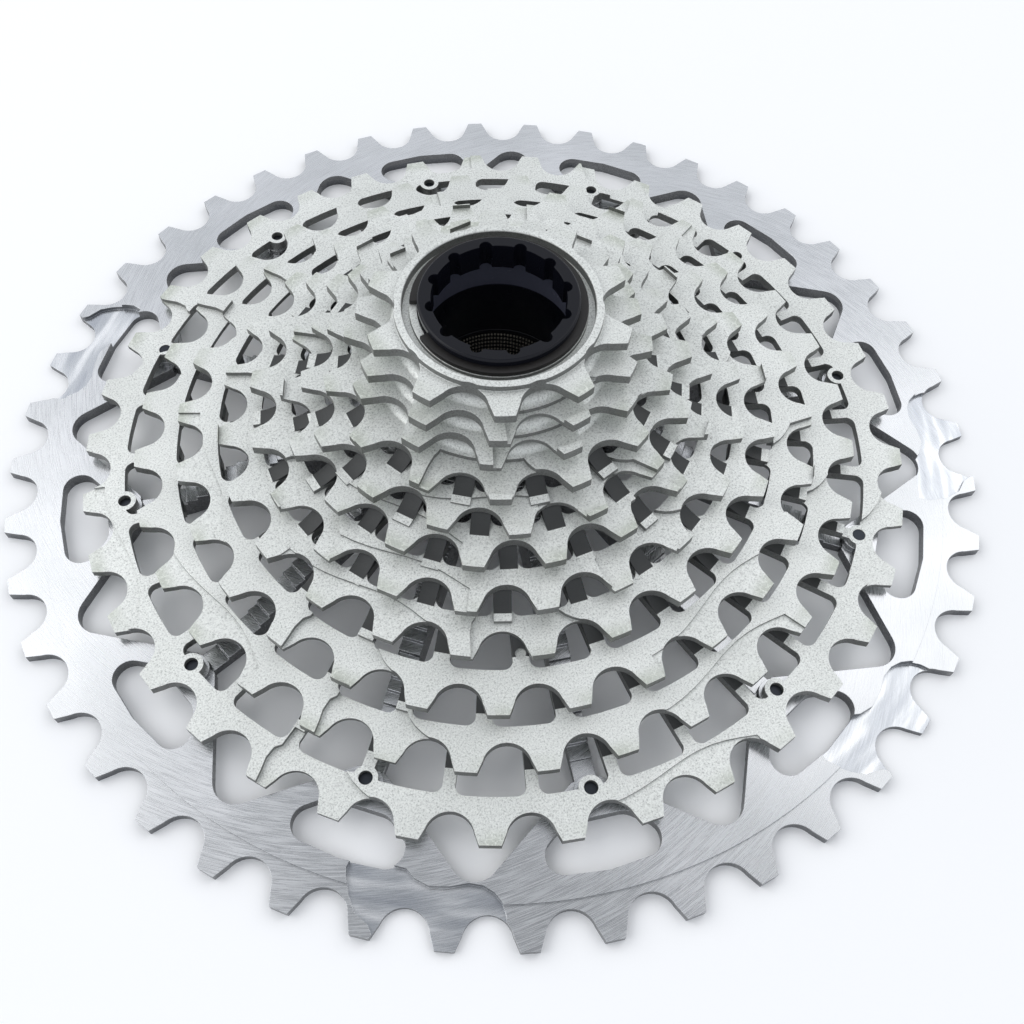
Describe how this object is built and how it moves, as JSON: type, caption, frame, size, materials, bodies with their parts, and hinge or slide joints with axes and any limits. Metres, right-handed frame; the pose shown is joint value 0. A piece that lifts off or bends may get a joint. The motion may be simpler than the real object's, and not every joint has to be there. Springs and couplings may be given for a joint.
{
  "type": "bicycle cassette sprocket",
  "caption": "Wide-range bicycle cassette: stepped cone of steel sprockets on a large aluminium sprocket with radial arms, splined hub and turning lock tube.",
  "frame": {"origin": "centre of the flat back face, on the wheel axis", "axes": "+Z along the wheel axis from the largest to the smallest sprocket; +X through one arm and joining pin"},
  "size_m": [0.1812, 0.1812, 0.0439],
  "materials": {
    "steel": "bead-blasted hardened steel with fine dark speckle",
    "aluminium": "turned and milled bare aluminium",
    "pin_steel": "dark blunt pin ends",
    "black_tube": "glossy black anodised",
    "spring_steel": "brown-black oiled spring steel"
  },
  "bodies": {
    "cassette": {"sprocket_44t": "aluminium", "sprocket_37t": "steel", "sprocket_32t": "steel", "sprocket_28t": "steel", "sprocket_24t": "steel", "sprocket_21t": "steel", "sprocket_18t": "steel", "sprocket_16t": "steel", "sprocket_14t": "steel", "sprocket_12t": "steel", "sprocket_11t": "steel", "sprocket_10t": "steel", "carrier_arms": "aluminium", "splined_hub": "aluminium", "joining_pins": "pin_steel"},
    "lock_tube": {"lock_tube": "black_tube", "snap_ring": "spring_steel"}
  },
  "joints": [
    {"name": "lock_tube_spin", "type": "hinge", "parent": "cassette", "child": "lock_tube", "pos_m": [0, 0, 0.025], "axis": [0, 0, 1], "continuous": true}
  ]
}
